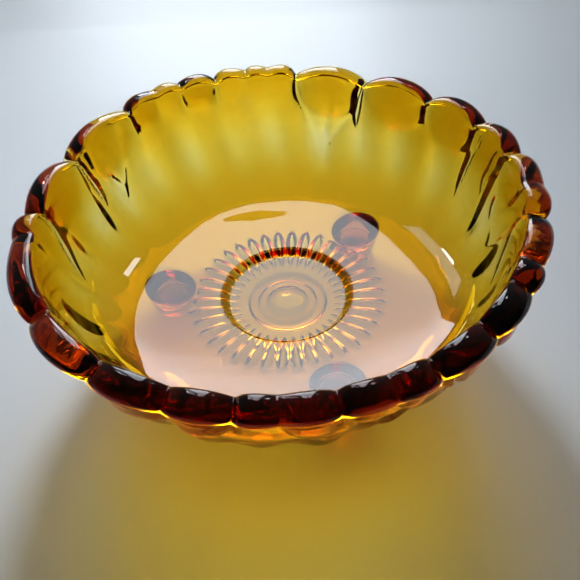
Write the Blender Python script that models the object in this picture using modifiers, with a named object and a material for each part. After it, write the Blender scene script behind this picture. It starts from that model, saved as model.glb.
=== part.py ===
"""Pressed amber glass candy dish: a round bowl with a petalled wall and a thick scalloped rim,
a dished base with a daisy pressed into its underside, and three nub feet.

The real dish is one glass pressing. Its regions are separate solids here, divided where its mould divides:
the cap ring makes the rim band, the body mould makes the petal wall, and the base plate makes the base
disc and the feet. Neighbours keep a gap of SEAM_GAP.

Metres, +Z up. The origin is on the table, under the centre of the base.
+X is the dish's right, and -Y its front.
Azimuths are in degrees, counter-clockwise from +X as seen from above.
"""

import math

import bpy
from mathutils import Vector

MM = 0.001

# Driving dimensions
DISH_HEIGHT = 57.0 * MM
RIM_RADIUS = 82.2 * MM
LIP_RADIUS = 74.0 * MM
LIP_DROP = 1.5 * MM
RIM_BAND_HEIGHT = 6.2 * MM
RIM_CREST_RADIUS = 76.4 * MM
RIM_WIDEST_HEIGHT = 1.0 * MM
RIM_LEDGE = 1.2 * MM
RIM_ARC_ROWS = 5
BASE_RADIUS = 49.7 * MM
UNDERSIDE_LEVEL = 8.4 * MM
FLOOR_LEVEL = 13.8 * MM
FOOT_RADIUS = 8.5 * MM
FOOT_CIRCLE_RADIUS = 42.0 * MM
SEAM_GAP = 0.3 * MM

# The floor and the underside are dished: each rises with a power of the radius, by this much at the wall
WALL_LOW_RADIUS = BASE_RADIUS + SEAM_GAP
DISH_POWER = 2.5
FLOOR_RISE = 5.3 * MM
UNDERSIDE_RISE = 4.2 * MM

# Wall: on each side a curve runs on from the dished base and steepens towards the rim
WALL_TOP = DISH_HEIGHT - RIM_BAND_HEIGHT - SEAM_GAP
WALL_TOP_RADIUS = 80.7 * MM
INNER_TURN = 24.0 * MM
OUTER_TURN = 20.0 * MM
INNER_REACH = 18.0 * MM
OUTER_REACH = 24.0 * MM
INNER_TOP_SLOPE = math.radians(68)
OUTER_TOP_SLOPE = math.radians(62)
WALL_ROWS = 9
RING_STEPS = 180

# Plan outline: the round rim swells a little three and four times a turn, and no two of its lobes are alike
SWELLS = ((4, 0.8 * MM, 29.6), (3, 0.9 * MM, 4.7))
SWELL_POWER = 1.5

# Rim lobes: the azimuth of the notch on each side of a lobe, and how deep that notch is
RIM_NOTCHES = (
    (0.0, 1.1 * MM),
    (12.5, 3.6 * MM),
    (26.7, 3.4 * MM),
    (43.5, 4.4 * MM),
    (63.1, 4.4 * MM),
    (83.8, 3.6 * MM),
    (92.0, 1.0 * MM),
    (98.0, 1.5 * MM),
    (106.8, 3.0 * MM),
    (116.9, 1.8 * MM),
    (124.0, 0.9 * MM),
    (133.4, 3.4 * MM),
    (157.3, 4.6 * MM),
    (179.6, 3.6 * MM),
    (187.8, 1.2 * MM),
    (212.7, 3.8 * MM),
    (232.4, 3.6 * MM),
    (248.4, 3.2 * MM),
    (261.1, 3.6 * MM),
    (269.1, 1.2 * MM),
    (280.0, 3.2 * MM),
    (289.7, 1.4 * MM),
    (299.3, 3.6 * MM),
    (313.8, 3.8 * MM),
    (327.0, 2.4 * MM),
    (335.0, 2.6 * MM),
    (350.4, 3.8 * MM),
)
NOTCH_PULL_IN = 1.1
LOBE_ROUNDNESS = 0.6
FLUTE_ROUNDNESS = 1.1

# Wall petals: five broad petals, and five narrow ones that show as a V between their tips.
# Each narrow petal has three azimuths: its clockwise edge at the rim, its point, its other edge at the rim
NARROW_PETALS = (
    (350.4, 2.0, 12.5),
    (64.5, 74.5, 84.0),
    (138.0, 147.5, 153.0),
    (206.0, 219.0, 231.0),
    (281.0, 291.0, 300.0),
)
NARROW_PETAL_FOOT = 0.38
PETAL_STEP = 1.5 * MM
PETAL_CROWN = 1.2 * MM
PETAL_CREASE = 0.9 * MM
CREASE_HALF_WIDTH = 2.5
FLUTE_SHARE = 0.95
FLUTE_FOOT = 0.7

# Tongues: each lobe wider than a bead swells below the rim and ends in a round tip
TONGUE_SIZE = 2.0 * MM
TONGUE_HEIGHT = 0.34
TONGUE_FULL_WIDTH = 18.0
TONGUE_SQUARENESS = 2.5
TONGUE_EDGE = 0.5
TONGUE_LEAD = 0.3
BEAD_WIDTH = 9.0

# Base: a flat well in the floor, and a daisy and a round boss on the underside
WELL_RADIUS = 22.0 * MM
WELL_SLOPE = 1.8 * MM
WELL_LEVEL = FLOOR_LEVEL - 1.4 * MM
DAISY_PETALS = 38
DAISY_OUTER_RADIUS = 33.4 * MM
DAISY_INNER_RADIUS = 17.0 * MM
DAISY_DEPTH = 1.2 * MM
DAISY_RIDGE = 4.0 * MM
BASE_STEPS = (0.0, 0.25, 0.5, 0.75, 1.0)
BOSS_RADIUS = 13.3 * MM
BOSS_DROP = 0.8 * MM

# Feet
FOOT_AZIMUTHS = {"foot_rear": 50.5, "foot_left": 170.5, "foot_front": 290.5}
FOOT_PAD_RADIUS = 4.4 * MM
FOOT_STEPS = 24
FOOT_ARC_ROWS = 4

# Materials
AMBER = (0.75, 0.42, 0.03, 1.0)
DEEP_AMBER = (0.42, 0.13, 0.01, 1.0)
GLASS_ROUGHNESS = 0.04
GLASS_IOR = 1.51
SHARP_ANGLE = math.radians(35)


def clear_scene():
    for item in list(bpy.data.objects):
        bpy.data.objects.remove(item, do_unlink=True)


def glass_material(name, colour):
    material = bpy.data.materials.new(name)
    material.use_nodes = True
    shader = material.node_tree.nodes["Principled BSDF"]
    shader.inputs["Base Color"].default_value = colour
    shader.inputs["Roughness"].default_value = GLASS_ROUGHNESS
    shader.inputs["Metallic"].default_value = 0.0
    shader.inputs["Transmission Weight"].default_value = 0.9
    shader.inputs["IOR"].default_value = GLASS_IOR
    return material


def clamp01(value):
    return min(1.0, max(0.0, value))


def smooth_ramp(value):
    x = clamp01(value)
    return x * x * (3.0 - 2.0 * x)


# The bowl's curves


def floor_level(radius):
    return FLOOR_LEVEL + FLOOR_RISE * (radius / WALL_LOW_RADIUS) ** DISH_POWER


def underside_level(radius):
    return UNDERSIDE_LEVEL + UNDERSIDE_RISE * (radius / WALL_LOW_RADIUS) ** DISH_POWER


def wall_curve(rise, low_level, turn, top, reach, top_slope):
    """Points up one side of the wall: a cubic curve that leaves the dished base along its slope."""
    low_slope = math.atan(DISH_POWER * rise / WALL_LOW_RADIUS)
    low = Vector((WALL_LOW_RADIUS, low_level))
    handle_low = low + turn * Vector((math.cos(low_slope), math.sin(low_slope)))
    handle_top = top - reach * Vector((math.cos(top_slope), math.sin(top_slope)))
    points = []
    for row in range(WALL_ROWS + 1):
        t = row / WALL_ROWS
        s = 1.0 - t
        points.append(s**3 * low + 3 * s * s * t * handle_low + 3 * s * t * t * handle_top + t**3 * top)
    return points


def inner_curve():
    top = Vector((LIP_RADIUS, DISH_HEIGHT - LIP_DROP))
    low_level = floor_level(WALL_LOW_RADIUS)
    return wall_curve(FLOOR_RISE, low_level, INNER_TURN, top, INNER_REACH, INNER_TOP_SLOPE)


def outer_curve():
    top = Vector((WALL_TOP_RADIUS, WALL_TOP))
    low_level = underside_level(WALL_LOW_RADIUS)
    return wall_curve(UNDERSIDE_RISE, low_level, OUTER_TURN, top, OUTER_REACH, OUTER_TOP_SLOPE)


def radius_at(curve, level):
    """The radius of a curve where it crosses a level."""
    for below, above in zip(curve, curve[1:]):
        if level <= above.y:
            share = (level - below.y) / (above.y - below.y)
            return below.x + (above.x - below.x) * share
    return curve[-1].x


# The rim's lobes and the wall's petals


def lobe(azimuth):
    """The lobe at an azimuth: the share of it passed so far, its width, and its notches' depth there."""
    turn = azimuth % 360.0
    for index, (start, start_depth) in enumerate(RIM_NOTCHES):
        end, end_depth = RIM_NOTCHES[(index + 1) % len(RIM_NOTCHES)]
        width = (end - start) % 360.0
        share = ((turn - start) % 360.0) / width
        if share < 1.0:
            return share, width, start_depth + (end_depth - start_depth) * share
    return 0.0, 360.0, 0.0


def lobe_drop(azimuth, roundness=LOBE_ROUNDNESS):
    """How far the rim falls below its lobes' tips at an azimuth; a low roundness makes narrow notches."""
    share, _, depth = lobe(azimuth)
    return (1.0 - math.sin(math.pi * share) ** roundness) * depth


def tongue(azimuth, height):
    """The swelling below a lobe, which fades at the lobe's sides and ends in a round tip below."""
    share, width, _ = lobe(azimuth)
    if width < BEAD_WIDTH:
        return 0.0
    across = abs(2.0 * share - 1.0)
    down = (1.0 - height) / (TONGUE_HEIGHT * min(1.0, width / TONGUE_FULL_WIDTH))
    inside = 1.0 - across**TONGUE_SQUARENESS - down**2
    return TONGUE_SIZE * smooth_ramp(inside / TONGUE_EDGE) * smooth_ramp(TONGUE_LEAD + down)


def outline_swell(azimuth):
    swell = 0.0
    for count, size, start in SWELLS:
        swell += size * math.cos(math.radians(count * (azimuth - start)))
    return swell


def signed_turn(start, end):
    """The turn from one azimuth to another, between -180 and 180 degrees."""
    return (end - start + 180.0) % 360.0 - 180.0


def narrow_petal(azimuth):
    """The nearest narrow petal: the angle from its point to azimuth, its half width, and its spacing."""
    turns = [(signed_turn(petal[1], azimuth), index) for index, petal in enumerate(NARROW_PETALS)]
    turn, index = min(turns, key=lambda pair: abs(pair[0]))
    clockwise, point, other = NARROW_PETALS[index]
    half_width = abs(signed_turn(point, other if turn > 0.0 else clockwise))
    step = 1 if turn > 0.0 else -1
    neighbour = NARROW_PETALS[(index + step) % len(NARROW_PETALS)][1]
    spacing = abs(signed_turn(point, neighbour))
    return abs(turn), half_width, spacing


def petal_relief(azimuth, height):
    """How far the wall's outside stands out from its plain curve. Height is 0 at the base, 1 at the rim."""
    turn, rim_half_width, spacing = narrow_petal(azimuth)
    rise = clamp01((height - NARROW_PETAL_FOOT) / (1.0 - NARROW_PETAL_FOOT))
    half_width = rim_half_width * math.sin(math.pi / 2.0 * rise)
    if turn < half_width:
        relief = -PETAL_STEP * (turn / half_width) ** 2 * rise
    else:
        across = clamp01((turn - half_width) / (spacing / 2.0 - half_width))
        relief = PETAL_CROWN * math.sin(math.pi / 2.0 * across) * math.sin(math.pi * height)
    crease = PETAL_CREASE * math.exp(-((turn / CREASE_HALF_WIDTH) ** 2))
    relief -= crease * (1.0 - rise) * smooth_ramp(height / NARROW_PETAL_FOOT)
    roundness = LOBE_ROUNDNESS + (FLUTE_ROUNDNESS - LOBE_ROUNDNESS) * (1.0 - height)
    flute = FLUTE_SHARE * lobe_drop(azimuth, roundness)
    relief -= flute * smooth_ramp((height - FLUTE_FOOT) / (1.0 - FLUTE_FOOT))
    return relief + tongue(azimuth, height)


def outline_shift():
    """The move that centres the lobed outline over the base, because no two of its lobes are alike."""
    tips = []
    for step in range(RING_STEPS):
        azimuth = 360.0 * step / RING_STEPS
        radius = RIM_RADIUS + outline_swell(azimuth) - NOTCH_PULL_IN * lobe_drop(azimuth)
        angle = math.radians(azimuth)
        tips.append((radius * math.cos(angle), radius * math.sin(angle)))
    xs = [tip[0] for tip in tips]
    ys = [tip[1] for tip in tips]
    return Vector((-(min(xs) + max(xs)) / 2.0, -(min(ys) + max(ys)) / 2.0, 0.0))


# Building


def turned(name, outline, steps, collection, closed):
    """A turned solid: the outline, as (radius, level) pairs, runs down its outer side from the top."""
    count = len(outline)
    edges = [(i, i + 1) for i in range(count - 1)]
    if closed:
        edges.append((count - 1, 0))
    profile = bpy.data.meshes.new(name + "_outline")
    profile.from_pydata([(radius, 0.0, level) for radius, level in outline], edges, [])
    raw = bpy.data.objects.new(name + "_outline", profile)
    collection.objects.link(raw)
    screw = raw.modifiers.new("Turn", "SCREW")
    screw.axis = "Z"
    screw.angle = math.tau
    screw.steps = steps
    screw.render_steps = steps
    screw.use_merge_vertices = True
    screw.merge_threshold = 0.00001
    bpy.context.view_layer.update()
    evaluated = raw.evaluated_get(bpy.context.evaluated_depsgraph_get())
    mesh = bpy.data.meshes.new_from_object(evaluated)
    mesh.name = name
    bpy.data.objects.remove(raw, do_unlink=True)
    bpy.data.meshes.remove(profile)
    solid = bpy.data.objects.new(name, mesh)
    collection.objects.link(solid)
    return solid


def finish_piece(solid, material, parent):
    solid.data.materials.clear()
    solid.data.materials.append(material)
    solid.data.shade_smooth()
    solid.data.set_sharp_from_angle(angle=SHARP_ANGLE)
    solid.parent = parent


def move_vertices(solid, place):
    """Moves each vertex to the radius, azimuth and level that place() returns for its own."""
    for vertex in solid.data.vertices:
        radius = math.hypot(vertex.co.x, vertex.co.y)
        azimuth = math.degrees(math.atan2(vertex.co.y, vertex.co.x))
        radius, azimuth, level = place(radius, azimuth, vertex.co.z)
        angle = math.radians(azimuth)
        vertex.co = Vector((radius * math.cos(angle), radius * math.sin(angle), level))
    solid.data.update()


def lean_outline(solid, shift):
    """Moves the ring over by shift at the rim and by less lower down."""
    for vertex in solid.data.vertices:
        vertex.co += shift * clamp01((vertex.co.z - FLOOR_LEVEL) / (WALL_TOP - FLOOR_LEVEL))
    solid.data.update()


def rim_band(collection):
    """The thick scalloped band that rings the top of the wall: rounded above, with a small ledge below."""
    bottom = WALL_TOP + SEAM_GAP
    widest = bottom + RIM_WIDEST_HEIGHT
    inside = [point for point in inner_curve() if point.y > bottom]
    outline = []
    for row in range(RIM_ARC_ROWS + 1):
        angle = math.pi / 2.0 * row / RIM_ARC_ROWS
        radius = RIM_CREST_RADIUS + (RIM_RADIUS - RIM_CREST_RADIUS) * math.sin(angle)
        outline.append((radius, widest + (DISH_HEIGHT - widest) * math.cos(angle)))
    outline.append((RIM_RADIUS - RIM_LEDGE, bottom))
    outline.append((radius_at(inner_curve(), bottom), bottom))
    outline += [(point.x, point.y - LIP_DROP) for point in inside]
    band = turned("rim_band", outline, RING_STEPS, collection, closed=True)
    inner = radius_at(inner_curve(), bottom)

    def place(radius, azimuth, level):
        drop = lobe_drop(azimuth)
        lift = (level - bottom) / RIM_BAND_HEIGHT
        outward = clamp01((radius - inner) / (RIM_RADIUS - inner))
        new_radius = radius + outline_swell(azimuth) - NOTCH_PULL_IN * drop * outward
        return new_radius, azimuth, level - drop * lift

    move_vertices(band, place)
    return band


def petal_wall(collection):
    """The side of the bowl: smooth inside, with overlapping petals outside."""
    outer_side = outer_curve()
    low = outer_side[0].y
    inner_side = [point for point in inner_curve() if point.y < WALL_TOP]
    outline = [tuple(point) for point in reversed(outer_side)] + [tuple(point) for point in inner_side]
    outline.append((radius_at(inner_curve(), WALL_TOP), WALL_TOP))
    wall = turned("petal_wall", outline, RING_STEPS, collection, closed=True)

    def place(radius, azimuth, level):
        height = clamp01((level - low) / (WALL_TOP - low))
        middle = (radius_at(inner_curve(), level) + radius_at(outer_side, level)) / 2.0
        outside = radius > middle
        radius += outline_swell(azimuth) * height**SWELL_POWER
        if outside:
            radius += petal_relief(azimuth, height)
        return radius, azimuth, level

    move_vertices(wall, place)
    return wall


def base_disc(collection):
    """The dished base, with a flat well in the floor and a daisy and a boss under it."""
    edges = [DAISY_OUTER_RADIUS + (BASE_RADIUS - DAISY_OUTER_RADIUS) * share for share in BASE_STEPS]
    daisy_top = (DAISY_INNER_RADIUS + DAISY_OUTER_RADIUS) / 2.0
    outline = [(0.0, WELL_LEVEL), (WELL_RADIUS - WELL_SLOPE, WELL_LEVEL)]
    outline.append((WELL_RADIUS, floor_level(WELL_RADIUS)))
    outline += [(radius, floor_level(radius)) for radius in edges]
    outline += [(radius, underside_level(radius)) for radius in reversed(edges)]
    for radius in (daisy_top + DAISY_RIDGE, daisy_top - DAISY_RIDGE):
        outline.append((radius, underside_level(radius) + DAISY_DEPTH))
    outline.append((DAISY_INNER_RADIUS, underside_level(DAISY_INNER_RADIUS)))
    outline.append((BOSS_RADIUS, underside_level(BOSS_RADIUS)))
    outline.append((BOSS_RADIUS - BOSS_DROP, UNDERSIDE_LEVEL - BOSS_DROP))
    outline.append((0.0, UNDERSIDE_LEVEL - BOSS_DROP))
    disc = turned("base_disc", outline, 2 * DAISY_PETALS, collection, closed=False)

    def place(radius, azimuth, level):
        under = level < (floor_level(radius) + underside_level(radius)) / 2.0
        on_daisy = under and DAISY_INNER_RADIUS < radius < DAISY_OUTER_RADIUS
        between = round(azimuth * DAISY_PETALS / 180.0) % 2 == 1
        if on_daisy and between:
            return radius, azimuth, underside_level(radius)
        return radius, azimuth, level

    move_vertices(disc, place)
    return disc


def foot(name, azimuth, collection):
    """A round nub that stands on a small flat pad, turned about its own axis and placed under the base."""
    top = underside_level(FOOT_CIRCLE_RADIUS)
    outline = [(0.0, top)]
    for row in range(FOOT_ARC_ROWS + 1):
        angle = math.pi / 2.0 * row / FOOT_ARC_ROWS
        spread = FOOT_PAD_RADIUS + (FOOT_RADIUS - FOOT_PAD_RADIUS) * math.cos(angle)
        outline.append((spread, top * (1.0 - math.sin(angle))))
    outline.append((0.0, 0.0))
    nub = turned(name, outline, FOOT_STEPS, collection, closed=False)
    angle = math.radians(azimuth)
    centre = Vector((FOOT_CIRCLE_RADIUS * math.cos(angle), FOOT_CIRCLE_RADIUS * math.sin(angle), 0.0))
    for vertex in nub.data.vertices:
        reach = (centre + vertex.co).xy.length
        seat = underside_level(reach) - SEAM_GAP
        vertex.co.z *= seat / top
    nub.data.update()
    nub.location = centre
    return nub


def build():
    clear_scene()
    collection = bpy.data.collections.new("candy_dish")
    bpy.context.scene.collection.children.link(collection)
    dish = bpy.data.objects.new("dish", None)
    collection.objects.link(dish)

    shift = outline_shift()
    band = rim_band(collection)
    lean_outline(band, shift)
    finish_piece(band, glass_material("deep_amber_rim", DEEP_AMBER), dish)

    wall = petal_wall(collection)
    lean_outline(wall, shift)
    finish_piece(wall, glass_material("amber_wall", AMBER), dish)

    finish_piece(base_disc(collection), glass_material("amber_base", AMBER), dish)

    for name, azimuth in FOOT_AZIMUTHS.items():
        finish_piece(foot(name, azimuth, collection), glass_material("amber_" + name, AMBER), dish)


build()
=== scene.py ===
"""Looks of the amber glass candy dish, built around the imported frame.

The bowl is one continuous closed glass skin. It stands for the rim band, the petal wall and the base disc, and it
carries the upper part of each nub foot. The lower part of each foot is a closed glass pad of its own, a shallow
cup that takes the foot's blunt end. Thick glass looks darker because the amber is a volume absorption. Lengths are
in metres, azimuths in degrees counter-clockwise from +X, and h is a height on the wall, from 0 to 1.
"""

import math
from collections import namedtuple

import bmesh
import bpy
import numpy as np
from mathutils import Matrix, Vector


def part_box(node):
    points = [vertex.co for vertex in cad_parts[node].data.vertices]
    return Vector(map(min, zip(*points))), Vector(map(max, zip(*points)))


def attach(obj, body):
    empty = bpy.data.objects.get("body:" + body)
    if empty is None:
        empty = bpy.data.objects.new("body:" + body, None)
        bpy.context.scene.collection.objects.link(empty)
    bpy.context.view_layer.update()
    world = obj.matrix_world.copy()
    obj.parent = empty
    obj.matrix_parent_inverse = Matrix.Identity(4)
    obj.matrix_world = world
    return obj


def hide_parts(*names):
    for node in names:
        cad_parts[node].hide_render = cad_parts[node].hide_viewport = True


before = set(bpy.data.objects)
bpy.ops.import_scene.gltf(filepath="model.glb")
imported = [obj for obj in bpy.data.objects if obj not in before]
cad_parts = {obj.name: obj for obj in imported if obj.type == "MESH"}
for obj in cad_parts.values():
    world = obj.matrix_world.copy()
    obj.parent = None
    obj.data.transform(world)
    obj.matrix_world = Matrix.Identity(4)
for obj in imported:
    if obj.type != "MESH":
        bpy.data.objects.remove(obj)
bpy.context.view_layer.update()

MM = 0.001
FEET = ("foot_rear", "foot_left", "foot_front")

# The skin's mesh: columns round the bowl, rings up the wall's two sides, and how the columns crowd at an edge
COLUMNS = 570
INNER_RINGS = 22
OUTER_RINGS = 46
CROWDING = 1.3
CROWD_WIDTH = 1.5

# Sizes read from the frame
rim_low, rim_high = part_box("rim_band")
wall_low, wall_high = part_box("petal_wall")
base_low, base_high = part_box("base_disc")
HEIGHT = rim_high.z
BAND_BOTTOM = rim_low.z
BAND = HEIGHT - BAND_BOTTOM
WALL_TOP = wall_high.z
WALL_BOTTOM = wall_low.z
LOW_RADIUS = base_high.x + 0.3 * MM

# The dished base, with a boss round the middle of its underside
BOSS_DROP = 0.8 * MM
UNDERSIDE = base_low.z + BOSS_DROP
UNDERSIDE_RISE = WALL_BOTTOM - UNDERSIDE
DISH_POWER = 2.5
FLOOR_RISE = 5.3 * MM
FLOOR = base_high.z - FLOOR_RISE * (base_high.x / LOW_RADIUS) ** DISH_POWER

# The well in the floor, and the fine groove round it: radii and depths in mm
WELL_LEVEL = FLOOR - 1.4 * MM
WELL_INNER = 20.3 * MM
WELL_OUTER = 22.1 * MM
WELL_GROOVE_RADII = (22.12, 22.3, 22.36, 22.62)
WELL_GROOVE_DEPTHS = (0.0, 0.42, 0.42, 0.0)

# Rings of points on the floor, from the middle out
FLOOR_RINGS = MM * np.concatenate([
    np.linspace(4, 19.8, 4), (20.25,), np.linspace(20.4, 22.0, 5),
    (22.1, 22.15, 22.3, 22.36, 22.6, 22.65, 23.0), np.linspace(24.5, 50.0, 9),
])

# Rings of points on the underside, from the wall in
UNDER_RINGS = MM * np.concatenate([
    np.linspace(49, 35.5, 6), np.linspace(33.8, 16.8, 20), (15.6, 14.6), np.linspace(14.0, 12.6, 5),
    (11.4,), np.linspace(10.6, 9.6, 4), (8.4, 7.6, 7.15, 6.9, 6.4, 5.6, 4.4, 3.0, 1.5),
])

# The daisy of leaves in the underside
LEAVES = 38
LEAF_START = 16.8 * MM
LEAF_LENGTH = 16.8 * MM
LEAF_DEPTH = 1.7 * MM
LEAF_FILL = 0.97
LEAF_FOLD = 0.8

# The boss inside the daisy, its hollow face and the dimple in the middle
BOSS_RADIUS = 12.7 * MM
BOSS_SIDE = 1.2 * MM
FACE_RADIUS = 9.6 * MM
FACE_SIDE = 0.9 * MM
FACE_HOLLOW = 0.5 * MM
DIMPLE_DEPTH = 0.9 * MM
DIMPLE_RADIUS = 7.2 * MM

# The rim, from the lip inside to the ledge under the band
LIP_RADIUS = 74.0 * MM
LIP_DROP = 1.5 * MM
LIP = HEIGHT - LIP_DROP
CREST_RADIUS = 76.4 * MM
RIM_RADIUS = 82.2 * MM
BAND_EDGE = BAND_BOTTOM + 1.3 * MM
WIDEST = BAND_EDGE + 0.9 * MM
LEDGE = 1.5 * MM

# The outline is a little out of round: count round the rim, size, azimuth of the first crest
SWELLS = ((4, 0.8 * MM, 29.6), (3, 0.9 * MM, 4.7))
REAR_SHIFT = 0.9 * MM

# Notches between the rim's beads: azimuth, depth in mm
RIM_NOTCHES = (
    (0.0, 1.1), (12.5, 3.6), (26.7, 3.4), (43.5, 4.4), (63.1, 4.4), (83.8, 3.6), (92.0, 1.0), (98.0, 1.5),
    (106.8, 3.0), (116.9, 1.8), (124.0, 0.9), (133.4, 3.4), (157.3, 4.6), (179.6, 3.6), (187.8, 1.2),
    (212.7, 3.8), (232.4, 3.6), (248.4, 3.2), (261.1, 3.6), (269.1, 1.2), (280.0, 3.2), (289.7, 1.4),
    (299.3, 3.6), (313.8, 3.8), (327.0, 2.4), (335.0, 2.6), (350.4, 3.8),
)
BEAD_ROUNDNESS = 0.6
NOTCH_PULL_IN = 1.1

# How far down the wall each notch's groove stays deep, 0 to 1, and a groove's depth as a share of its notch's
GROOVES = {63.1: 0.3, 157.3: 0.3, 179.6: 0.3, 350.4: 0.3, 26.7: 0.3, 12.5: 0.5, 212.7: 0.4, 313.8: 0.4}
GROOVE_STRENGTH = 0.95

# Thick tongues that hang from the wider beads: widths in degrees, reach as a share of the wall
TONGUE_SWELL = 2.0 * MM
TONGUE_REACH = 0.34
TONGUE_MIN_BEAD = 9.0
TONGUE_FULL_BEAD = 18.0
TONGUE_SQUARENESS = 2.5
TONGUE_EDGE = 0.35

# Narrow petals in the wall: azimuths of the left edge, the middle and the right edge at the top
NARROW_PETALS = (
    (350.4, 2.0, 12.5), (64.5, 74.5, 84.0), (138.0, 147.5, 153.0), (206.0, 219.0, 231.0), (281.0, 291.0, 300.0),
)
PETAL_FOOT = 0.38
PETAL_BLEND = 1.1
NARROW_DEPTH = 1.5 * MM
WIDE_SWELL = 1.2 * MM

# Fine lines along the petals' edges and below the petals' feet: depth, half width in degrees
EDGE_LINE = (0.35 * MM, 1.8)
FOOT_LINE = (0.7 * MM, 1.6)

# Sharp furrows in the wall's outside: azimuth at the top and at the bottom, height at the top and at the bottom,
# half width and depth in mm, and which side is the wide one (1 towards growing azimuths)
FURROWS = (
    (63.4, 64.8, 1.04, 0.62, 4.6, 4.3, 1),
    (156.2, 153.6, 1.04, 0.48, 4.6, 4.4, -1),
    (178.0, 181.0, 1.04, 0.32, 5.0, 4.7, -1),
    (353.0, 346.5, 1.04, 0.34, 5.0, 4.8, 1),
    (24.5, 25.5, 0.98, 0.38, 3.0, 2.8, 1),
    (18.0, 16.5, 0.88, 0.58, 3.0, 2.8, 1),
    (8.5, 7.0, 0.76, 0.54, 2.6, 2.4, 1),
    (148.0, 145.5, 0.66, 0.44, 3.4, 3.2, -1),
    (74.8, 73.0, 0.58, 0.42, 2.4, 1.8, 1),
    (303.0, 306.0, 0.9, 0.5, 3.0, 2.6, 1),
    (225.0, 222.0, 0.95, 0.5, 3.2, 2.8, -1),
)

# How much steeper a furrow's narrow side is than its wide side
FURROW_STEEPNESS = 7.0

# The wall's radius in mm at its foot, and how much it grows to the top, near enough for the furrows' widths
WALL_FOOT_MM = 55.0
WALL_SPREAD_MM = 22.0

# Soft waves in the wall
WAVE_SIZE = 0.8 * MM

# The wall's outside curve, slimmed in the middle; no groove leaves the glass thinner than this
WALL_TOP_RADIUS = 80.7 * MM
SLIMMING = 0.9 * MM
THINNEST = 1.9 * MM

# The feet: the pad's flat radius, the level of the seat inside the cup and the gap that keeps the two skins apart
PAD_RADIUS = 4.4 * MM
PAD_SEAT = 1.1 * MM
PAD_GAP = 0.3 * MM
PAD_COLUMNS = 96
SEAT_INSET = 0.3 * MM
SEAT_ROUND = 0.1 * MM

# How far above the seat the foot's round side ends, on the bowl's part and on the cup
STUB_ABOVE_SEAT = 1.2 * MM
CUP_ABOVE_SEAT = 1.0 * MM

# The hollow round a foot where it meets the underside: extra radius, share of the foot's drop
FOOT_FILLET = ((1.0 * MM, 0.0), (0.55 * MM, 0.008), (0.2 * MM, 0.03), (0.0, 0.075))

# The patch of the underside that each foot takes the place of: half its turn, outer and inner radius
PATCH_TURN = 14.5
PATCH_OUTER = 52.6 * MM
PATCH_INNER = 32.9 * MM

# The amber inside the glass, as an absorption
AMBER = (0.947, 0.832, 0.04, 1.0)
AMBER_DENSITY = 740.0

# The window's light, and the plane it stands in
SKY = (0.86, 0.93, 1.0)
WINDOW_PLANE = 1.2

# The window seen in the glass: height, left side, right side
WINDOW_OUTLINE = (
    (0.30, -0.42, 0.175), (0.62, -0.34, 0.19), (0.80, -0.28, 0.21), (1.00, -0.255, 0.225),
    (1.30, -0.262, 0.228), (1.60, -0.268, 0.23), (1.90, -0.27, 0.226), (2.05, -0.262, 0.215),
    (2.20, -0.235, 0.19), (2.32, -0.19, 0.14), (2.40, -0.12, 0.08), (2.43, -0.05, 0.02),
)
WINDOW_ROWS = 90

# A dark lens near the window's top: middle, height, half width, half height
LENS = (0.035, 2.10, 0.095, 0.11)

FLOOR_HALF = 3.0
FLOOR_GAP = 0.2 * MM

# The camera: a lens length and sensor width in mm, and turns in degrees
LENS_LENGTH = 45.931
SENSOR = 36.0
CAMERA_PLACE = Vector((5.24 * MM, -177.27 * MM, 197.39 * MM))
PITCH, YAW, ROLL = math.radians(45.735), math.radians(-1.341), math.radians(-4.239)


def smooth(x):
    x = np.clip(x, 0.0, 1.0)
    return x * x * (3.0 - 2.0 * x)


def signed_turn(az, middle):
    """The turn from middle to az, from -180 to 180."""
    return (az - middle + 180.0) % 360.0 - 180.0


def crowded_azimuths():
    """Columns crowd near the notches and along the furrows, where the glass turns sharply."""
    fine = np.linspace(0.0, 360.0, 7201)
    density = np.ones_like(fine)
    edges = [notch[0] for notch in RIM_NOTCHES]
    edges += [row[0] + (row[1] - row[0]) * step for row in FURROWS for step in (0.1, 0.5, 0.9)]
    for edge in edges:
        density += CROWDING * np.exp(-((signed_turn(fine, edge) / CROWD_WIDTH) ** 2))
    total = np.concatenate([[0.0], np.cumsum((density[1:] + density[:-1]) / 2)])
    return np.interp(np.arange(COLUMNS) / COLUMNS * total[-1], total, fine)


azimuth = crowded_azimuths()
angle = np.radians(azimuth)

# A place on a rim bead: share of the way across the bead, its width in degrees, the depth of its notches, and how
# far down the wall the nearer notch's groove stays deep
Bead = namedtuple("Bead", "share width depth groove")


def rim_bead(az):
    """The rim bead at each azimuth."""
    share = np.zeros_like(az)
    width = np.zeros_like(az)
    depth = np.zeros_like(az)
    groove = np.zeros_like(az)
    for (start, start_depth), (end, end_depth) in zip(RIM_NOTCHES, RIM_NOTCHES[1:] + RIM_NOTCHES[:1]):
        here_width = (end - start) % 360.0
        here = ((az - start) % 360.0) / here_width
        inside = here < 1.0
        nearer = np.where(here < 0.5, GROOVES.get(start, 0.0), GROOVES.get(end, 0.0))
        share = np.where(inside, here, share)
        width = np.where(inside, here_width, width)
        depth = np.where(inside, start_depth + (end_depth - start_depth) * here, depth)
        groove = np.where(inside, nearer, groove)
    return Bead(share, width, depth * MM, groove)


def bead_drop(bead, roundness):
    """How far the glass falls back between the beads."""
    return (1.0 - np.sin(np.pi * bead.share) ** roundness) * bead.depth


def outline_swell(az):
    return sum(size * np.cos(np.radians(count * (az - start))) for count, size, start in SWELLS)


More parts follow.
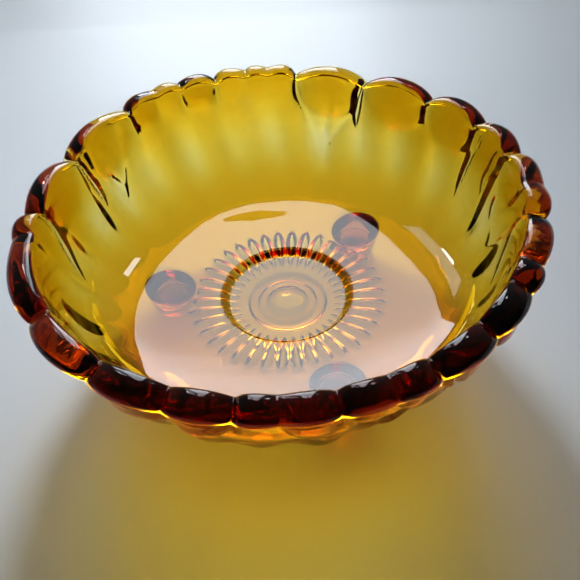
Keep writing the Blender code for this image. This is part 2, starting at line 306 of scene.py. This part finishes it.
def narrow_petal(az):
    """The nearest narrow petal: the turn from its middle, its half width and the gap to the next one's middle."""
    turn = np.full(az.shape, 360.0)
    half_width = np.zeros(az.shape)
    spacing = np.zeros(az.shape)
    count = len(NARROW_PETALS)
    for i, (left, middle, right) in enumerate(NARROW_PETALS):
        here = signed_turn(az, middle)
        near = np.abs(here) < np.abs(turn)
        half_left = (middle - left) % 360.0
        half_right = (right - middle) % 360.0
        gap_left = (middle - NARROW_PETALS[i - 1][1]) % 360.0
        gap_right = (NARROW_PETALS[(i + 1) % count][1] - middle) % 360.0
        turn = np.where(near, here, turn)
        half_width = np.where(near, np.where(here > 0, half_right, half_left), half_width)
        spacing = np.where(near, np.where(here > 0, gap_right, gap_left), spacing)
    return np.abs(turn), half_width, spacing


def petals(az, h):
    """Narrow petals pressed in, wide ones swelling out between them; and the share that is narrow petal."""
    turn, half_width, spacing = narrow_petal(az)
    rise = np.clip((h - PETAL_FOOT) / (1.0 - PETAL_FOOT), 0, 1)
    edge = half_width * np.sin(np.pi / 2 * rise)
    beyond = turn - edge
    narrow = (rise > 0) * (1.0 - smooth(beyond / PETAL_BLEND + 0.5))
    hollow = 0.35 + 0.65 * (turn / np.maximum(edge, 0.5)).clip(0, 1) ** 2
    relief = -NARROW_DEPTH * narrow * hollow * (0.35 + 0.65 * rise)
    across = np.clip(beyond / np.maximum(spacing / 2 - edge, 1.0), 0, 1)
    relief = relief + WIDE_SWELL * np.sin(np.pi / 2 * across) * np.sin(np.pi * h) * (1.0 - narrow)
    depth, width = EDGE_LINE
    relief = relief - depth * np.exp(-((beyond / width) ** 2)) * smooth((h - PETAL_FOOT) / 0.25)
    depth, width = FOOT_LINE
    relief = relief - depth * np.exp(-((turn / width) ** 2)) * (1.0 - rise) * smooth(h / 0.3)
    return relief, narrow


def bead_grooves(bead, h):
    """The rim's notches carried on down the wall."""
    down = 1.0 - h
    plain = np.minimum(BEAD_ROUNDNESS + 1.8 * down, 1.3)
    roundness = np.where(bead.groove > 0, BEAD_ROUNDNESS + 0.3 * down, plain)
    reach = bead.groove * smooth((h - 0.15) / 0.55) + (1.0 - bead.groove) * smooth((h - 0.7) / 0.3)
    return GROOVE_STRENGTH * bead_drop(bead, roundness) * reach


def tongues(bead, h):
    reach = TONGUE_REACH * np.clip(bead.width / TONGUE_FULL_BEAD, 0.35, 1.0)
    across = np.abs(2.0 * bead.share - 1.0)
    down = np.clip((1.0 - h) / reach, 0, 2)
    outline = smooth((1.0 - across**TONGUE_SQUARENESS - down**2) / TONGUE_EDGE)
    return TONGUE_SWELL * outline * smooth(0.3 + down) * (bead.width > TONGUE_MIN_BEAD)


def furrow(az, h, top_az, low_az, top_h, low_h, half_width, depth, wide_side):
    """One furrow's depth: a leaf-shaped cut with a gentle side and a steep one."""
    along = np.clip((top_h - h) / (top_h - low_h), -0.2, 1.2)
    middle = top_az + (low_az - top_az) * along
    off = signed_turn(az, middle) * math.radians(1.0) * (WALL_FOOT_MM + WALL_SPREAD_MM * h) * wide_side
    off = np.where(off > 0, off, -FURROW_STEEPNESS * off)
    swell = np.sin(np.pi * np.clip(0.18 + 0.82 * along, 0, 1)) ** 0.7 * (along > -0.19) * (along < 1.0)
    reach = half_width * np.maximum(swell, 1e-3)
    return depth * MM * swell * (0.55 + 0.45 * h) * np.clip(1.0 - off / reach, 0, 1) ** 1.3


def waves(az, h):
    slow = 0.6 * np.sin(np.radians(17.0 * az + 40.0 * h + 50.0))
    quick = np.sin(np.radians(26.0 * (az + 4.0 * (1.0 - h))))
    return WAVE_SIZE * (quick + slow) * np.sin(np.pi * np.clip(h * 1.1, 0, 1))


def wall_relief(az, h):
    """How far the wall's outside stands out from its smooth curve."""
    az, h = np.broadcast_arrays(az, h)
    bead = rim_bead(az)
    relief, narrow = petals(az, h)
    relief = relief - bead_grooves(bead, h) + tongues(bead, h)
    for row in FURROWS:
        relief = relief - furrow(az, h, *row)
    return relief + waves(az, h) * (1.0 - narrow * 0.7)


def floor_level(r):
    return FLOOR + FLOOR_RISE * (r / LOW_RADIUS) ** DISH_POWER


def underside_level(r):
    return UNDERSIDE + UNDERSIDE_RISE * (r / LOW_RADIUS) ** DISH_POWER


STEPS = np.linspace(0, 1, 400)


def wall_curve(rise, low_level, low_reach, top, top_reach, top_slope):
    """A cubic in (radius, level) that leaves the dished base along its slope and climbs to the wall's top."""
    low_slope = math.atan(DISH_POWER * rise / LOW_RADIUS)
    low = np.array((LOW_RADIUS, low_level))
    top = np.array(top)
    handle_low = low + low_reach * np.array((math.cos(low_slope), math.sin(low_slope)))
    handle_top = top - top_reach * np.array((math.cos(top_slope), math.sin(top_slope)))
    t = STEPS[:, None]
    s = 1 - t
    return s**3 * low + 3 * s * s * t * handle_low + 3 * s * t * t * handle_top + t**3 * top


INNER = wall_curve(
    rise=FLOOR_RISE, low_level=FLOOR + FLOOR_RISE, low_reach=24 * MM,
    top=(LIP_RADIUS, LIP), top_reach=18 * MM, top_slope=math.radians(68),
)
OUTER = wall_curve(
    rise=UNDERSIDE_RISE, low_level=WALL_BOTTOM, low_reach=20 * MM,
    top=(WALL_TOP_RADIUS, WALL_TOP), top_reach=24 * MM, top_slope=math.radians(62),
)

DROP = bead_drop(rim_bead(azimuth), BEAD_ROUNDNESS)
SWELL = outline_swell(azimuth)


def height_share(z):
    return np.clip((z - WALL_BOTTOM) / (WALL_TOP - WALL_BOTTOM), 0, 1)


def every_column(values):
    """A value for each ring, repeated in every column."""
    return np.repeat(values[:, None], COLUMNS, 1)


def floor_rows():
    r = every_column(FLOOR_RINGS)
    edge = floor_level(np.maximum(r, WELL_OUTER))
    climb = np.clip((r - WELL_INNER) / (WELL_OUTER - WELL_INNER), 0, 1)
    z = WELL_LEVEL + (edge - WELL_LEVEL) * (0.75 * climb + 0.25 * smooth(climb))
    z = z - np.interp(r / MM, WELL_GROOVE_RADII, WELL_GROOVE_DEPTHS) * MM
    return r, z


def inner_wall_rows():
    t = np.linspace(0, 1, INNER_RINGS + 1)[1:]
    smooth_z = np.interp(t, STEPS, INNER[:, 1])
    r = every_column(np.interp(t, STEPS, INNER[:, 0]))
    z = every_column(smooth_z)
    lift = np.clip((z - BAND_BOTTOM) / BAND, 0, 1)
    z = z - DROP * lift
    r = r + SWELL * height_share(smooth_z)[:, None] ** 1.5
    return r, z


def quarter_ellipse(centre, half_width, half_height, start, steps):
    """Points a quarter turn clockwise from start degrees, without the first."""
    turn = np.radians(np.linspace(start, start - 90.0, steps + 1)[1:])
    return np.stack([centre[0] + half_width * np.cos(turn), centre[1] + half_height * np.sin(turn)], 1)


def rim_rows():
    """From the lip over the crest to the widest ring, and in under it to the ledge."""
    path = np.concatenate([
        quarter_ellipse((CREST_RADIUS, LIP), CREST_RADIUS - LIP_RADIUS, LIP_DROP, 180.0, 8),
        quarter_ellipse((CREST_RADIUS, WIDEST), RIM_RADIUS - CREST_RADIUS, HEIGHT - WIDEST, 90.0, 12),
        quarter_ellipse((RIM_RADIUS - LEDGE, WIDEST), LEDGE, WIDEST - BAND_EDGE, 0.0, 6),
    ])
    r = every_column(path[:, 0])
    z = every_column(path[:, 1])
    lift = (z - BAND_BOTTOM) / BAND
    inside = np.interp(BAND_BOTTOM, INNER[:, 1], INNER[:, 0])
    outward = np.clip((r - inside) / (RIM_RADIUS - inside), 0, 1)
    r = r + SWELL - NOTCH_PULL_IN * DROP * outward * (0.4 + 0.6 * lift)
    z = z - DROP * lift
    return r, z


def outer_wall_rows():
    t = np.linspace(1, 0, OUTER_RINGS)
    smooth_r = np.interp(t, STEPS, OUTER[:, 0])
    z = every_column(np.interp(t, STEPS, OUTER[:, 1]))
    h = height_share(z)
    slimming = SLIMMING * np.sin(np.pi * h) ** 0.7
    inside = np.interp(z, INNER[:, 1], INNER[:, 0], left=0.0)
    r = np.maximum(smooth_r[:, None] + wall_relief(azimuth[None, :], h) - slimming, inside + THINNEST)
    return r + SWELL * h**1.5, z


def under_rows():
    r = every_column(UNDER_RINGS)
    z = underside_level(r)
    pitch = 360.0 / LEAVES
    across = (((azimuth + pitch / 2) % pitch - pitch / 2) / (pitch / 2))[None, :]
    along = np.clip((r - LEAF_START) / LEAF_LENGTH, 0, 1)
    half_width = LEAF_FILL * np.sin(np.pi * along**1.2) ** 0.55
    share = across / np.maximum(half_width, 1e-3)
    rounded = np.clip(1.0 - share**2, 0, 1)
    folded = np.clip(1.0 - np.abs(share), 0, 1) ** 0.85
    leaf = LEAF_FOLD * folded + (1.0 - LEAF_FOLD) * rounded
    z = z + LEAF_DEPTH * leaf * smooth(half_width / 0.6) * (half_width > 0.02)
    z = z - BOSS_DROP * (1.0 - smooth((r - BOSS_RADIUS) / BOSS_SIDE))
    z = z + FACE_HOLLOW * (1.0 - smooth((r - FACE_RADIUS) / FACE_SIDE))
    z = z + DIMPLE_DEPTH * np.sqrt(np.clip(1.0 - (r / DIMPLE_RADIUS) ** 2, 0, 1))
    return r, z


def outline_shift():
    """The shift that centres the outline in the frame, with a little more towards the rear."""
    radius = RIM_RADIUS + SWELL - NOTCH_PULL_IN * DROP
    x, y = radius * np.cos(angle), radius * np.sin(angle)
    return -(x.min() + x.max()) / 2, REAR_SHIFT - (y.min() + y.max()) / 2


SHIFT = outline_shift()


def place(r, z):
    """Points from radii and levels; the shift grows from the floor up."""
    lean = np.clip((z - FLOOR) / (WALL_TOP - FLOOR), 0, 1)
    x = r * np.cos(angle)[None, :] + SHIFT[0] * lean
    y = r * np.sin(angle)[None, :] + SHIFT[1] * lean
    return np.stack([x, y, z], -1)


def add_object(name, data):
    obj = bpy.data.objects.new(name, data)
    bpy.context.scene.collection.objects.link(obj)
    return obj


def clean_mesh(name, verts, faces):
    """A smooth mesh with outward normals and no stray points."""
    mesh = bpy.data.meshes.new(name)
    mesh.from_pydata(verts, [], faces)
    used = {v for face in faces for v in face}
    work = bmesh.new()
    work.from_mesh(mesh)
    work.verts.ensure_lookup_table()
    bmesh.ops.delete(work, geom=[v for v in work.verts if v.index not in used], context="VERTS")
    bmesh.ops.recalc_face_normals(work, faces=work.faces)
    work.to_mesh(mesh)
    work.free()
    mesh.shade_smooth()
    return mesh


def skin(name, rows, top_pole, bottom_pole, stubs=()):
    """A closed skin from rings of points, with a pole at each end and a stub for each foot."""
    n, cols = rows.shape[:2]
    top = n * cols
    bottom = top + 1
    verts = [tuple(v) for v in rows.reshape(-1, 3)] + [top_pole, bottom_pole]
    i = np.arange(n - 1)[:, None] * cols
    j = np.arange(cols)[None, :]
    k = (j + 1) % cols
    quads = np.stack([i + j, i + cols + j, i + cols + k, i + k], -1)
    keep = np.ones((n - 1, cols), bool)
    extra = []
    for centre, profile in stubs:
        extra += foot_stub(verts, rows, keep, centre, profile)
    faces = [tuple(int(q) for q in quad) for quad in quads[keep]]
    faces += extra
    faces += [(top, a, (a + 1) % cols) for a in range(cols)]
    last = (n - 1) * cols
    faces += [(bottom, last + (a + 1) % cols, last + a) for a in range(cols)]
    return add_object(name, clean_mesh(name, verts, faces))


def open_patch(rows, keep, centre):
    """Takes a foot's patch out of the grid and returns the loop of points round it."""
    cols = rows.shape[1]
    radius = np.hypot(rows[:, 0, 0], rows[:, 0, 1])
    first = UNDER_START
    while radius[first] < PATCH_OUTER:
        first -= 1
    last = first
    while radius[last] > PATCH_INNER:
        last += 1
    turn = signed_turn(azimuth, math.degrees(math.atan2(centre[1], centre[0])) % 360.0)
    start = int(np.argmin(np.abs(turn + PATCH_TURN)))
    end = int(np.argmin(np.abs(turn - PATCH_TURN)))
    span = (end - start) % cols
    columns = [(start + a) % cols for a in range(span + 1)]
    keep[first:last, columns[:-1]] = False
    loop = [first * cols + c for c in columns]
    loop += [r * cols + columns[-1] for r in range(first + 1, last + 1)]
    loop += [last * cols + c for c in columns[-2::-1]]
    loop += [r * cols + columns[0] for r in range(last - 1, first, -1)]
    return loop


def foot_stub(verts, rows, keep, centre, profile):
    """Fills a foot's patch with rings that turn from the patch's outline into the foot's round side."""
    previous = open_patch(rows, keep, centre)
    size = len(previous)
    middle = np.array(centre)[None, :]
    edge = np.array([verts[v] for v in previous])[:, :2]
    spoke = (edge - middle) / np.linalg.norm(edge - middle, axis=1)[:, None]
    circle = middle + spoke * profile[0][0]
    rings = [(edge * (1 - share) + circle * share, 0.0) for share in (0.35, 0.7)]
    rings += [(middle + spoke * radius, drop) for radius, drop in profile]
    faces = []
    for flat, drop in rings:
        level = under_surface(flat) * (1.0 - drop)
        ring = list(range(len(verts), len(verts) + size))
        verts.extend((float(p[0]), float(p[1]), float(z)) for p, z in zip(flat, level))
        for a in range(size):
            b = (a + 1) % size
            faces.append((previous[a], previous[b], ring[b], ring[a]))
        previous = ring
    pole = len(verts)
    verts.append((centre[0], centre[1], float(np.mean([verts[v][2] for v in previous]))))
    faces += [(previous[a], previous[(a + 1) % size], pole) for a in range(size)]
    return faces


def under_surface(flat):
    """The underside's level at points of the plan, carried on into the foot of the wall."""
    r = np.hypot(flat[:, 0], flat[:, 1])
    wall = np.interp(r, OUTER[:, 0], OUTER[:, 1])
    return np.where(r < LOW_RADIUS, underside_level(r), wall)


def node_material(name):
    mat = bpy.data.materials.new(name)
    mat.use_nodes = True
    return mat, mat.node_tree.nodes, mat.node_tree.links


def add_node(nodes, kind, values=None):
    """A new node with some of its inputs set."""
    node = nodes.new(kind)
    for key, value in (values or {}).items():
        node.inputs[key].default_value = value
    return node


def add_noise(nodes, links, values):
    """Noise over the object's own space."""
    coords = nodes.new("ShaderNodeTexCoord")
    noise = add_node(nodes, "ShaderNodeTexNoise", values)
    links.new(coords.outputs["Object"], noise.inputs["Vector"])
    return noise.outputs["Fac"]


def add_ramp(nodes, links, source, low, high, low_value, high_value):
    """Turns the source's range from low to high into the range of the two values."""
    values = {"From Min": low, "From Max": high, "To Min": low_value, "To Max": high_value}
    ramp = add_node(nodes, "ShaderNodeMapRange", values)
    links.new(source, ramp.inputs["Value"])
    return ramp.outputs["Result"]


def amber_glass():
    """Clear glass with fire-polish ripples and patches of faint haze; its colour is absorption inside."""
    mat, nodes, links = node_material("amber_glass")
    shader = nodes["Principled BSDF"]
    shader.inputs["Base Color"].default_value = (1, 1, 1, 1)
    shader.inputs["IOR"].default_value = 1.45
    shader.inputs["Transmission Weight"].default_value = 1.0
    patches = add_noise(nodes, links, {"Scale": 38.0, "Detail": 3.0})
    haze = add_ramp(nodes, links, patches, 0.45, 0.75, 0.0, 0.035)
    links.new(haze, shader.inputs["Roughness"])
    ripples = add_noise(nodes, links, {"Scale": 34.0, "Detail": 1.5, "Distortion": 0.6})
    bump = add_node(nodes, "ShaderNodeBump", {"Strength": 1.0, "Distance": 0.07 * MM})
    links.new(ripples, bump.inputs["Height"])
    links.new(bump.outputs["Normal"], shader.inputs["Normal"])
    absorb = add_node(nodes, "ShaderNodeVolumeAbsorption", {"Color": AMBER, "Density": AMBER_DENSITY})
    links.new(absorb.outputs["Volume"], nodes["Material Output"].inputs["Volume"])
    return mat


glass = amber_glass()


def glass_piece(obj, *cad_names):
    """Gives a piece its glass and ties it to the frame."""
    obj.data.materials.append(glass)
    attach(obj, "root")
    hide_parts(*cad_names)


def foot_side(radius, share):
    """The foot's radius at a share of its drop, from the underside down to the ground."""
    return PAD_RADIUS + (radius - PAD_RADIUS) * math.sqrt(max(0.0, 1.0 - share * share))


def foot_plan(name):
    """The foot's middle, its radius, and the underside's level above it."""
    low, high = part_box(name)
    middle = ((low.x + high.x) / 2, (low.y + high.y) / 2)
    return middle, (high.x - low.x) / 2, float(underside_level(math.hypot(*middle)))


def foot_profile(radius, drop):
    """The bowl's part of a foot, as (radius, share of the drop), from the underside to its blunt end."""
    profile = [(radius + extra, share) for extra, share in FOOT_FILLET]
    cut = 1.0 - (PAD_SEAT + STUB_ABOVE_SEAT) / drop
    profile += [(foot_side(radius, share), share) for share in np.linspace(0.15, cut, 9).tolist()]
    end = 1.0 - PAD_SEAT / drop
    profile.append((foot_side(radius, cut) - 0.5 * MM, cut + 0.25 * (end - cut)))
    profile.append((PAD_RADIUS + SEAT_ROUND, end - 0.02))
    profile.append((PAD_RADIUS - SEAT_INSET, end))
    profile.append((PAD_RADIUS / 2, end))
    return profile


def bowl():
    """The bowl's skin: floor, inside of the wall, rim, outside of the wall, underside and the feet's stubs."""
    stubs = []
    for name in FEET:
        middle, radius, drop = foot_plan(name)
        stubs.append((middle, foot_profile(radius, drop)))
    r = np.concatenate([part[0] for part in PARTS])
    z = np.concatenate([part[1] for part in PARTS])
    under_pole = UNDERSIDE - BOSS_DROP + FACE_HOLLOW + DIMPLE_DEPTH
    obj = skin("dish_glass", place(r, z), (0, 0, WELL_LEVEL), (0, 0, under_pole), stubs)
    glass_piece(obj, "rim_band", "petal_wall", "base_disc", *FEET)


def foot_pad(name):
    """The ground pad under a foot: a shallow cup that takes the foot's blunt end."""
    (x, y), radius, drop = foot_plan(name)
    top = PAD_SEAT - PAD_GAP
    share = 1.0 - (PAD_SEAT + CUP_ABOVE_SEAT) / drop
    edge = foot_side(radius, share)
    edge_level = drop * (1.0 - share) - 0.3 * MM
    profile = [(PAD_RADIUS / 2, top), (PAD_RADIUS - SEAT_INSET, top), (PAD_RADIUS + SEAT_ROUND, top + 0.1 * MM)]
    profile += [(edge - 0.3 * MM, edge_level - 0.05 * MM), (edge, edge_level)]
    for share in np.linspace(1.0 - edge_level / drop + 0.01, 0.995, 8).tolist():
        profile.append((foot_side(radius, share), drop * (1.0 - share)))
    profile += [(PAD_RADIUS, 0.0), (PAD_RADIUS / 2, 0.0)]
    turn = np.radians(np.arange(PAD_COLUMNS) * 360.0 / PAD_COLUMNS)
    rings = [(x + r * np.cos(turn), y + r * np.sin(turn), np.full(PAD_COLUMNS, z)) for r, z in profile]
    obj = skin(name + "_pad", np.stack(rings).transpose(0, 2, 1), (x, y, top), (x, y, 0.0))
    glass_piece(obj, name)


PARTS = (floor_rows(), inner_wall_rows(), rim_rows(), outer_wall_rows(), under_rows())
UNDER_START = sum(part[0].shape[0] for part in PARTS[:4])
bowl()
for foot_name in FEET:
    foot_pad(foot_name)


def make_floor():
    s = FLOOR_HALF
    mesh = bpy.data.meshes.new("studio_floor")
    mesh.from_pydata([(-s, -s, 0), (s, -s, 0), (s, s, 0), (-s, s, 0)], [], [(0, 1, 2, 3)])
    obj = add_object("studio_floor", mesh)
    obj.location.z = -FLOOR_GAP
    mat, nodes, links = node_material("pale_floor")
    shader = nodes["Principled BSDF"]
    shader.inputs["Specular IOR Level"].default_value = 0.06
    clouds = add_noise(nodes, links, {"Scale": 9.0, "Detail": 4.0})
    tint = nodes.new("ShaderNodeMix")
    tint.data_type = "RGBA"
    tint.inputs["A"].default_value = (0.82, 0.845, 0.87, 1)
    tint.inputs["B"].default_value = (0.86, 0.88, 0.90, 1)
    links.new(clouds, tint.inputs["Factor"])
    links.new(tint.outputs["Result"], shader.inputs["Base Color"])
    links.new(add_ramp(nodes, links, clouds, 0.0, 1.0, 0.26, 0.34), shader.inputs["Roughness"])
    obj.data.materials.append(mat)


def area_light(name, left, right, low, high, radiance):
    """A flat pane of light in the window's plane, facing the dish's side of the room."""
    data = bpy.data.lights.new(name, "AREA")
    data.shape = "RECTANGLE"
    data.size = right - left
    data.size_y = high - low
    data.energy = radiance * math.pi * data.size * data.size_y
    data.color = SKY
    obj = add_object(name, data)
    obj.location = ((left + right) / 2, WINDOW_PLANE, (low + high) / 2)
    obj.rotation_euler = (math.radians(-90), 0, 0)
    return obj


def spot_light(name, start, aim, cone, power):
    """A soft-edged spot from start towards aim."""
    data = bpy.data.lights.new(name, "SPOT")
    data.energy = power
    data.color = SKY
    data.spot_size = math.radians(cone)
    data.spot_blend = 1.0
    data.shadow_soft_size = 0.12
    obj = add_object(name, data)
    obj.location = start
    obj.rotation_euler = (Vector(aim) - Vector(start)).to_track_quat("-Z", "Y").to_euler()
    return obj


def daylight_material():
    """The window's glow, stronger in its lower part."""
    mat, nodes, links = node_material("daylight")
    nodes.remove(nodes["Principled BSDF"])
    glow = add_node(nodes, "ShaderNodeEmission", {"Color": (*SKY, 1.0)})
    position = nodes.new("ShaderNodeNewGeometry")
    split = nodes.new("ShaderNodeSeparateXYZ")
    links.new(position.outputs["Position"], split.inputs[0])
    fade = add_ramp(nodes, links, split.outputs["Z"], 0.75, 0.92, 9.0, 6.2)
    links.new(fade, glow.inputs["Strength"])
    links.new(glow.outputs["Emission"], nodes["Material Output"].inputs["Surface"])
    return mat


def window_pane():
    """The big window as a glowing sheet, built in level rows that part around the dark lens."""
    heights, lefts, rights = zip(*WINDOW_OUTLINE)
    levels = np.linspace(heights[0], heights[-1], WINDOW_ROWS)
    left = np.interp(levels, heights, lefts)
    right = np.interp(levels, heights, rights)
    middle, height, half_width, half_height = LENS
    gap = half_width * np.clip(1.0 - ((levels - height) / half_height) ** 2, 0, 1) ** 0.8
    verts = []
    for row in zip(left, middle - gap, middle + gap, right, levels):
        verts += [(float(x), WINDOW_PLANE, float(row[-1])) for x in row[:-1]]
    starts = [4 * i + side for i in range(WINDOW_ROWS - 1) for side in (0, 2)]
    mesh = bpy.data.meshes.new("window_pane")
    mesh.from_pydata(verts, [], [(a, a + 1, a + 5, a + 4) for a in starts])
    obj = add_object("window_pane", mesh)
    obj.data.materials.append(daylight_material())
    obj.visible_diffuse = False


def seen_only(light):
    """A light that shows in reflections and through the glass, and leaves the bare table alone."""
    light.visible_diffuse = False


def table_only(light):
    """A light that falls on the table and shows in no reflection."""
    light.visible_glossy = False


def through_only(light):
    """A light that reaches the table only through the glass."""
    light.visible_diffuse = False
    light.visible_glossy = False


def add_lights():
    seen_only(area_light("window_left", -0.62, -0.42, 0.80, 1.80, 3.0))
    seen_only(area_light("window_right", 0.49, 0.62, 1.32, 1.60, 12.0))
    seen_only(area_light("window_far_left", -0.68, -0.60, 1.10, 1.38, 28.0))
    table_only(area_light("daylight", -0.48, 0.48, 0.20, 0.75, 12.5))
    table_only(spot_light("pool", (-0.05, 1.05, 0.68), (-0.045, 0.085, 0.0), 23.0, 54.0))
    through_only(area_light("daylight_through", -0.5, 0.7, 0.4, 1.9, 8.5))


def make_world():
    """A dim room, a little lighter above and behind, with a brighter backdrop for the camera's own view."""
    world = bpy.data.worlds.new("studio")
    world.use_nodes = True
    nodes = world.node_tree.nodes
    links = world.node_tree.links
    coords = nodes.new("ShaderNodeTexCoord")
    split = nodes.new("ShaderNodeSeparateXYZ")
    links.new(coords.outputs["Generated"], split.inputs[0])
    above = add_ramp(nodes, links, split.outputs["Z"], 0.1, 0.9, 0.01, 0.03)
    behind = add_ramp(nodes, links, split.outputs["Y"], -0.1, 0.8, 0.0, 0.10)
    room = nodes.new("ShaderNodeMath")
    room.operation = "ADD"
    links.new(above, room.inputs[0])
    links.new(behind, room.inputs[1])
    sight = nodes.new("ShaderNodeLightPath")
    backdrop = nodes.new("ShaderNodeMath")
    backdrop.operation = "MULTIPLY_ADD"
    backdrop.inputs[1].default_value = 0.6
    links.new(sight.outputs["Is Camera Ray"], backdrop.inputs[0])
    links.new(room.outputs[0], backdrop.inputs[2])
    background = nodes["Background"]
    background.inputs["Color"].default_value = (0.95, 0.98, 1.0, 1)
    links.new(backdrop.outputs[0], background.inputs["Strength"])
    bpy.context.scene.world = world


def add_camera():
    forward = Vector((math.sin(YAW) * math.cos(PITCH), math.cos(YAW) * math.cos(PITCH), -math.sin(PITCH)))
    right = Vector((math.cos(YAW), -math.sin(YAW), 0.0))
    up = right.cross(forward)
    rolled_right = right * math.cos(ROLL) + up * math.sin(ROLL)
    rolled_up = up * math.cos(ROLL) - right * math.sin(ROLL)
    data = bpy.data.cameras.new("camera")
    data.sensor_width = SENSOR
    data.lens = LENS_LENGTH
    data.clip_start = 0.01
    camera = add_object("camera", data)
    facing = Matrix((rolled_right, rolled_up, -forward)).transposed()
    camera.matrix_world = Matrix.Translation(CAMERA_PLACE) @ facing.to_4x4()
    bpy.context.scene.camera = camera


make_floor()
window_pane()
add_lights()
make_world()
add_camera()

bpy.context.scene.view_settings.view_transform = "Standard"

# Enough bounces for light to cross every side of the glass
bpy.context.scene.cycles.max_bounces = 24
bpy.context.scene.cycles.transmission_bounces = 24
bpy.context.scene.cycles.glossy_bounces = 12
